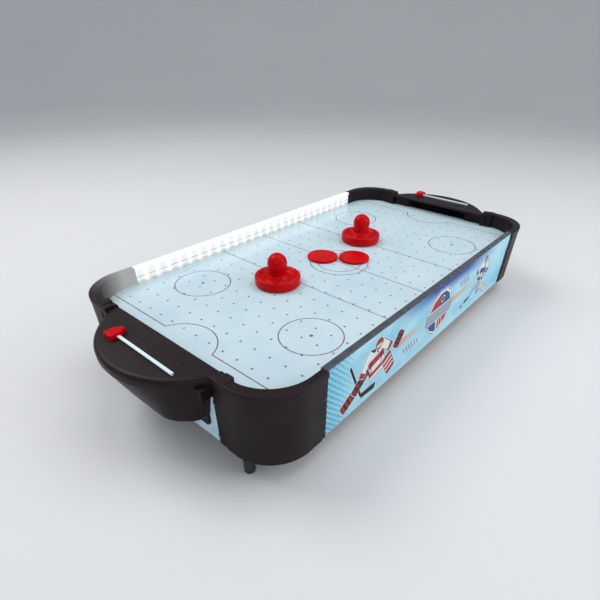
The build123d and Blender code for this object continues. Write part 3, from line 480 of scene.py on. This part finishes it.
def finish_frame():
    """Gives every CAD node its finish."""
    paint(black_plastic(), "goal_cover_left", "goal_cover_right", "goal_tray_left",
          "goal_tray_right", "corner_near_left", "corner_near_right", "corner_far_right",
          "fan_shroud", "intake_grille", "battery_box", "battery_door", "switch_body")
    paint(painted_glow_corner(), "corner_far_left")
    paint(rail_plastic(), "side_rail_near")
    paint(painted_glow_rail(), "side_rail_far")
    paint(light_cover("light_cover_near", 2.0), "light_cover_near")
    paint(light_cover("light_cover_far", 1.1), "light_cover_far")
    paint(diode(), "leds_near", "leds_far")
    paint(playfield(), "playfield_board")
    paint(panel_print(), "side_panel_near")
    paint(panel_print(turned=True), "side_panel_far")
    paint(end_print(), "end_panel_left", "end_panel_right")
    paint(fibreboard(), "base_board", "battens_near", "battens_far", "battens_left",
          "battens_right")
    paint(red_plastic(), "score_slider_left", "score_slider_right", "pusher_left", "pusher_right",
          "puck_left", "puck_right", "switch_rocker")
    paint(white_plastic(), "score_rail_left", "score_rail_right", "fan_impeller")
    paint(rubber(), "foot_near_left", "foot_near_right", "foot_far_left", "foot_far_right")
    paint(metal("screw_steel", (0.11, 0.105, 0.11), 0.38), "corner_screws", "goal_screws_left",
          "goal_screws_right", "base_screws", "motor_shaft")
    paint(metal("motor_can", (0.62, 0.62, 0.60), 0.3, (1, 1, 0.1)), "fan_motor")
    paint(metal("contact_metal", (0.72, 0.60, 0.34), 0.25), "battery_contacts")
    paint(foam(), "deck_seal")
    paint(felt(), "pusher_left_felt", "pusher_right_felt")
    paint(solder_mask("led_board", (0.70, 0.72, 0.70), (0.80, 0.70, 0.45)),
          "led_board_near", "led_board_far")
    paint(solder_mask("control_board", (0.02, 0.16, 0.07), (0.08, 0.32, 0.14)), "control_board")
    paint(cell_wrap(), "battery_cells")
    paint(wire(), "fan_lead", "power_leads", "light_leads")


# ---- thin printed motifs -----------------------------------------------------------
def turn(points, degrees):
    a = math.radians(degrees)
    return [(x * math.cos(a) - y * math.sin(a), x * math.sin(a) + y * math.cos(a))
            for x, y in points]


def shift(points, dx, dy):
    return [(x + dx, y + dy) for x, y in points]


def arc(centre, radius, start, end, steps=12):
    made = []
    for i in range(steps + 1):
        a = math.radians(start + (end - start) * i / steps)
        made.append((centre[0] + radius * math.cos(a), centre[1] + radius * math.sin(a)))
    return made


def disc(centre, radius):
    return arc(centre, radius, 0, 345, 23)


def bar(start, end, width, end_width=None):
    """A straight strip between two points, tapered where end_width says so."""
    a, b = Vector(start), Vector(end)
    side = Vector((-(b - a).y, (b - a).x)).normalized()
    other = width if end_width is None else end_width
    ends = (a + side * width / 2, a - side * width / 2, b - side * other / 2, b + side * other / 2)
    return [tuple(p) for p in ends]


def anticlockwise(points):
    ends = zip(points, points[1:] + points[:1])
    return sum(a[0] * b[1] - b[0] * a[1] for a, b in ends) > 0


def grown(points, by):
    """The outline pushed outwards, for a border round a shape."""
    sign = 1 if anticlockwise(points) else -1
    made = []
    for i, point in enumerate(points):
        before, here = Vector(points[i - 1]), Vector(point)
        after = Vector(points[(i + 1) % len(points)])
        a, b = (here - before).normalized(), (after - here).normalized()
        normal = Vector((a.y + b.y, -(a.x + b.x)))
        normal = normal.normalized() if normal.length > 1e-6 else Vector((a.y, -a.x))
        stretch = min(2.0, 1 / max(0.4, normal.dot(Vector((a.y, -a.x)))))
        made.append(tuple(here + normal * by * stretch * sign))
    return made


def bordered(outline, white, dark):
    """A white edge and a dark line inside it, drawn below a motif."""
    return [("white", grown(outline, white)), ("dark", grown(outline, dark))]


LAYER_MM = 0.05
LAYER_STEP = 0.12  # how far each layer stands over the one below, as a share of LAYER_MM
ART_START = 14.0  # the motifs' own height of the panel's lower edge


def printed(name, layers, inks, place, body="table", slot="panel_print"):
    """One thin piece from flat shapes: layers is a list of (ink name, outline), lowest first."""
    used = list(dict.fromkeys(colour for colour, outline in layers))
    verts, faces, shades = [], [], []
    for level, (colour, outline) in enumerate(layers):
        height = (LAYER_MM + level * LAYER_MM * LAYER_STEP) * MM
        ring = outline if anticlockwise(outline) else outline[::-1]
        low = range(len(verts), len(verts) + len(ring))
        high = range(low.stop, low.stop + len(ring))
        verts += [(x * MM, y * MM, z) for z in (0.0, height) for x, y in ring]
        faces += [tuple(reversed(low)), tuple(high)]
        faces += [(low[i - 1], low[i], high[i], high[i - 1]) for i in range(len(ring))]
        shades += [used.index(colour)] * (len(ring) + 2)
    mesh = bpy.data.meshes.new(name)
    mesh.from_pydata(verts, [], faces)
    mesh.polygons.foreach_set("material_index", shades)
    for colour in used:
        mesh.materials.append(inks[colour].material)
    piece = bpy.data.objects.new(name, mesh)
    bpy.context.scene.collection.objects.link(piece)
    mesh.transform(place)
    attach(piece, body)
    return piece


def jersey(centre, size, lean, base, band):
    """A plain striped sweater laid flat."""
    outline = [(-9, 22), (-5, 19), (5, 19), (9, 22), (17, 19), (33, 0), (25, -7), (15, 5),
               (15, -24), (-15, -24), (-15, 5), (-25, -7), (-33, 0), (-17, 19)]
    hem = [(-15, -13), (15, -13), (15, -19), (-15, -19)]
    chest = [(-15, 6), (15, 6), (15, -4), (-15, -4)]
    cuffs = [[(33, 0), (25, -7), (22, -3), (29, 5)], [(-33, 0), (-25, -7), (-22, -3), (-29, 5)]]
    collar = [(-9, 22), (-5, 19), (5, 19), (9, 22), (4, 14), (-4, 14)]

    def laid(points):
        points = turn([(x * size, y * size) for x, y in points], lean)
        return shift(points, *centre)

    layers = bordered(laid(outline), 1.6, 0.8) + [(base, laid(outline))]
    layers += [(band, laid(piece)) for piece in (hem, chest, *cuffs)]
    layers.append(("dark", laid(collar)))
    return layers


def pad(centre, half, lean, base, band):
    """A leg pad: a rounded slab with cross straps."""
    x, y, r = half[0], half[1], 0.35 * half[0]
    corners = ((x - r, y - r, 0), (-x + r, y - r, 90), (-x + r, -y + r, 180), (x - r, -y + r, 270))
    outline = [p for a, b, start in corners for p in arc((a, b), r, start, start + 90, 4)]
    straps = [[(-x, h + 1.3), (x, h + 1.3), (x, h - 1.3), (-x, h - 1.3)]
              for h in (-y * 0.5, 0.0, y * 0.5)]

    def laid(points):
        return shift(turn(points, lean), *centre)

    layers = bordered(laid(outline), 1.4, 0.7) + [(base, laid(outline))]
    return layers + [(band, laid(strap)) for strap in straps]


def helmet(centre, radius, colour):
    """A round helmet with a barred cage."""
    x, y = centre
    opening = bar((x - radius * 0.7, y - radius * 0.35), (x + radius * 0.8, y - radius * 0.35),
                  radius * 0.7)
    layers = [("white", disc(centre, radius + 1.1)), ("dark", disc(centre, radius + 0.5)),
              (colour, disc(centre, radius)), ("white", opening)]
    for i in range(3):
        at = x + radius * (i - 1) * 0.45
        layers.append(("dark", bar((at, y), (at, y - radius * 0.75), 0.7)))
    return layers


def stick(butt, heel, toe, width, shaft="dark", blade="dark"):
    """A hockey stick: shaft from butt to heel, then a blade that turns up at the toe."""
    run = bar(butt, heel, width)
    heel, toe = Vector(heel), Vector(toe)
    flat = toe - heel
    tip = toe + Vector((flat.x * 0.06, abs(flat.x) * 0.10))
    low = Vector((0, -width * 1.1))
    corners = (heel + Vector((0, width)), heel + low, toe + low, tip + low * 0.4,
               tip + Vector((0, width * 0.7)))
    foot = [tuple(corner) for corner in corners]
    return [("white", grown(run, 0.7)), ("white", grown(foot, 0.7)), (shaft, run), (blade, foot)]


def streaks(start_x, end_x, height, colour="orange"):
    """Speed lines that thin out towards end_x."""
    spread = ((4.5, 1.4, 1.0), (1.5, 3.2, 0.86), (-2.0, 1.8, 1.0), (-4.6, 1.0, 0.7))
    layers = []
    for offset, width, share in spread:
        stop = start_x + (end_x - start_x) * share
        start = (start_x, height + offset)
        layers.append((colour, bar(start, (stop, height + offset * 0.8), width, 0.25)))
    return layers


def slashes(centre, count, colour="rose"):
    """A row of short slanted strokes."""
    made = []
    for i in range(count):
        x = centre[0] + (i - (count - 1) / 2) * 6.0
        grow = 1.0 - 0.08 * abs(i - (count - 1) / 2)
        top = (x - 3.4 * grow, centre[1] + 5 * grow)
        bottom = (x + 3.4 * grow, centre[1] - 5 * grow)
        made.append((colour, bar(top, bottom, 1.7)))
    return made


def shield(centre, half_wide, half_tall):
    """A blank badge: two-coloured top, pale band across, striped foot."""
    cx, cy = centre
    w, h = half_wide, half_tall

    def at(points):
        return [(cx + x * w, cy + y * h) for x, y in points]

    outline = at([(-0.62, 0.78), (-0.2, 1.0), (0.3, 1.0), (0.7, 0.74), (0.94, 0.3), (0.96, -0.2),
                  (0.72, -0.66), (0.3, -0.96), (-0.1, -1.0), (-0.55, -0.74), (-0.86, -0.3),
                  (-0.9, 0.26)])
    left_top = at([(-0.8, 0.28), (-0.55, 0.68), (-0.18, 0.88), (0.02, 0.9), (-0.12, 0.28)])
    right_top = at([(-0.12, 0.28), (0.02, 0.9), (0.28, 0.88), (0.62, 0.66), (0.84, 0.28)])
    band = at([(-1.02, 0.2), (1.04, 0.2), (1.0, -0.28), (-0.98, -0.28)])
    foot_left = at([(-0.78, -0.36), (-0.14, -0.36), (0.02, -0.88), (-0.1, -0.9), (-0.5, -0.68)])
    foot_right = at([(0.0, -0.36), (0.84, -0.36), (0.64, -0.62), (0.27, -0.86), (0.1, -0.88)])
    layers = bordered(outline, 2.0, 0.9)
    layers += [("white", outline), ("red", left_top), ("navy", right_top)]
    layers += bordered(band, 1.3, 0.6)
    layers += [("grey", band), ("navy", foot_left), ("red", foot_right)]
    for x in (0.14, 0.34):
        layers.append(("white", bar((cx + x * w, cy - 0.36 * h),
                                    (cx + (x + 0.12) * w, cy - 0.86 * h), 1.6)))
    ring = (cx + 0.12 * w, cy + 0.58 * h)
    return layers + [("dark", disc(ring, 6.0)), ("white", disc(ring, 4.8)),
                     ("dark", disc(ring, 3.4))]


def side_art():
    """Motifs of a long panel, left to right, in mm along it and upwards."""
    layers = []
    layers += streaks(-92, -30, 57)
    layers += streaks(36, 108, 58)
    layers += slashes((-62, 39), 6)
    layers += slashes((69, 73), 5)
    keeper = stick((-186, 78), (-162, 27), (-136, 25), 3.4)
    keeper += pad((-184, 34), (6.5, 13), -58, "red", "dark")
    keeper += pad((-166, 47), (6.5, 14), -48, "rust", "dark")
    keeper += jersey((-139, 62), 0.92, 14, "white", "red")
    keeper += [("dark", bar((-150, 66), (-146, 46), 1.4)),
               ("dark", bar((-131, 72), (-128, 50), 1.2)),
               ("rust", bar((-156, 58), (-149, 47), 3.0)),
               ("dark", bar((-142, 80), (-137, 70), 2.0))]
    keeper += pad((-112, 43), (8.0, 15), 30, "red", "white")
    keeper += pad((-96, 66), (6.5, 10), -32, "rust", "dark")
    keeper += helmet((-137, 81), 6.6, "red")
    skater = jersey((133, 66), 0.72, -14, "white", "navy")
    skater += [("dark", bar((126, 72), (128, 56), 2.4)), ("navy", bar((138, 74), (137, 58), 3.2)),
               ("dark", bar((120, 62), (126, 52), 1.6))]
    skater += helmet((136, 83), 4.8, "navy")
    skater += stick((154, 66), (103, 36), (88, 33), 2.2)
    skater += [("white", grown(disc((80, 30), 3.2), 0.8)), ("dark", disc((80, 30), 3.2))]
    skater += pad((130, 41), (5.5, 9), 30, "navy", "white")
    skater += pad((155, 32), (4.5, 12), 62, "white", "rose")
    return {"keeper": keeper, "badge": shield((3, 55.5), 33, 30), "skater": skater, "marks": layers}


def print_panels():
    inks = {name: ink(name, colour) for name, colour in {
        "white": (0.86, 0.90, 0.92), "dark": (0.010, 0.011, 0.020), "red": (0.48, 0.022, 0.016),
        "rust": (0.24, 0.020, 0.015), "navy": (0.012, 0.10, 0.24), "grey": (0.34, 0.44, 0.52),
        "orange": (0.80, 0.36, 0.20), "rose": (0.60, 0.22, 0.24)}.items()}
    upright = Matrix.Rotation(math.radians(90), 4, "X")
    near = Matrix.Translation((0, -PANEL_FACE * MM, (PANEL_LOW - ART_START) * MM)) @ upright
    far = Matrix.Rotation(math.pi, 4, "Z") @ near
    for name, layers in side_art().items():
        printed("print_near_" + name, layers, inks, near)
        if name != "keeper":
            printed("print_far_" + name, layers, inks, far)


# ---- moulded score scale -----------------------------------------------------------
SCORE_STEPS = 10
SCORE_TRAVEL = 86.0
SCORE_GAP = 1.2  # between the pointer's tip and the bars
SCORE_BAR = (1.1, 0.7)  # width, and height half sunk in the plate


def score_scale(end, sign):
    """Low bars beside the score rail, one for each place of the pointer."""
    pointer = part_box("score_slider_" + end)
    start = (pointer[0].y + pointer[1].y) / 2 / MM
    tip = min(abs(pointer[0].x), abs(pointer[1].x)) / MM
    name = "score_scale_" + end
    mesh = bpy.data.meshes.new(name)
    shape = bmesh.new()
    for i in range(SCORE_STEPS + 1):
        reach = 6.0 if i % 5 else 9.0
        along = start - SCORE_TRAVEL * i / SCORE_STEPS
        centre = Vector((sign * (tip - SCORE_GAP - reach / 2), along, BRIDGE)) * MM
        size = Matrix.Diagonal((reach * MM, SCORE_BAR[0] * MM, SCORE_BAR[1] * MM, 1.0))
        bmesh.ops.create_cube(shape, size=1.0, matrix=Matrix.Translation(centre) @ size)
    bmesh.ops.bevel(shape, geom=list(shape.edges), offset=0.2 * MM, segments=2, affect="EDGES")
    shape.to_mesh(mesh)
    shape.free()
    mesh.materials.append(nodes["goal_cover_left"].data.materials[0])
    piece = bpy.data.objects.new(name, mesh)
    bpy.context.scene.collection.objects.link(piece)
    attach(piece, "table")


# ---- studio ------------------------------------------------------------------------
def studio():
    """A pale floor that curves up into a round backdrop, soft lamps and an even sky."""
    profile = [(2.0, 0.0), (2.5, 0.03), (2.9, 0.16), (3.2, 0.42), (3.4, 0.80), (3.5, 1.3),
               (3.5, 2.6)]
    steps = 96
    verts, faces = [], []
    for radius, height in profile:
        for i in range(steps):
            a = 2 * math.pi * i / steps
            verts.append((radius * math.cos(a), radius * math.sin(a), height))
    faces.append(tuple(range(steps)))
    for ring in range(len(profile) - 1):
        for i in range(steps):
            a, b = ring * steps + i, ring * steps + (i + 1) % steps
            faces.append((a, a + steps, b + steps, b))
    mesh = bpy.data.meshes.new("floor")
    mesh.from_pydata(verts, [], faces)
    for polygon in mesh.polygons:
        polygon.use_smooth = True
    floor = bpy.data.objects.new("floor", mesh)
    bpy.context.scene.collection.objects.link(floor)
    g = Graph("floor", (0.80, 0.81, 0.82), 0.6)
    cloud = g.noise(0.002, detail=2.0)
    g.give("Base Color", g.mix(g.ramp(cloud, 0.3, 0.7), (0.71, 0.72, 0.735), (0.73, 0.74, 0.755)))
    mesh.materials.append(g.material)

    world = bpy.data.worlds.new("studio")
    world.use_nodes = True
    background = world.node_tree.nodes["Background"]
    background.inputs["Color"].default_value = (0.84, 0.88, 0.94, 1.0)
    background.inputs["Strength"].default_value = 0.44
    bpy.context.scene.world = world
    light("key", (-0.4, 1.0, 1.4), 0.9, 13.0, (1.0, 0.98, 0.96))
    light("side", (0.9, -1.5, 0.9), 1.2, 13.0, (0.97, 0.98, 1.0))
    light("fill", (-1.4, -1.2, 1.0), 1.2, 6.0, (0.94, 0.97, 1.0))
    light("top", (0.5, -0.3, 1.7), 1.2, 9.0, (1.0, 1.0, 1.0))


def light(name, place, size, watts, colour):
    """A square soft lamp aimed at the table."""
    data = bpy.data.lights.new(name, "AREA")
    data.size = size
    data.energy = watts
    data.color = colour
    lamp = bpy.data.objects.new(name, data)
    lamp.location = place
    aim = Vector((0, 0, 0.05)) - Vector(place)
    lamp.rotation_euler = aim.to_track_quat("-Z", "Y").to_euler()
    bpy.context.scene.collection.objects.link(lamp)


CAMERA_AZIMUTH, CAMERA_TILT, CAMERA_ROLL = (math.radians(v) for v in (50.0, 38.176, 0.943))
CAMERA_PLACE = (-0.4454, -0.3215, DECK * MM + 0.2435)


def camera():
    """The box art's view, from above the near left corner."""
    data = bpy.data.cameras.new("camera")
    data.sensor_width = 36.0
    data.lens = 24.93
    data.shift_x = -0.0146
    data.shift_y = 0.1115
    data.clip_start = 0.01
    view = bpy.data.objects.new("camera", data)
    look = Vector((math.sin(CAMERA_AZIMUTH) * math.cos(CAMERA_TILT),
                   math.cos(CAMERA_AZIMUTH) * math.cos(CAMERA_TILT), -math.sin(CAMERA_TILT)))
    turned = look.to_track_quat("-Z", "Y").to_matrix().to_4x4()
    view.matrix_world = (Matrix.Translation(CAMERA_PLACE) @ turned
                         @ Matrix.Rotation(CAMERA_ROLL, 4, "Z"))
    bpy.context.scene.collection.objects.link(view)
    bpy.context.scene.camera = view


bpy.context.scene.view_settings.view_transform = "Standard"
camera()
studio()
finish_frame()
print_panels()
for end, sign in (("left", -1), ("right", 1)):
    score_scale(end, sign)
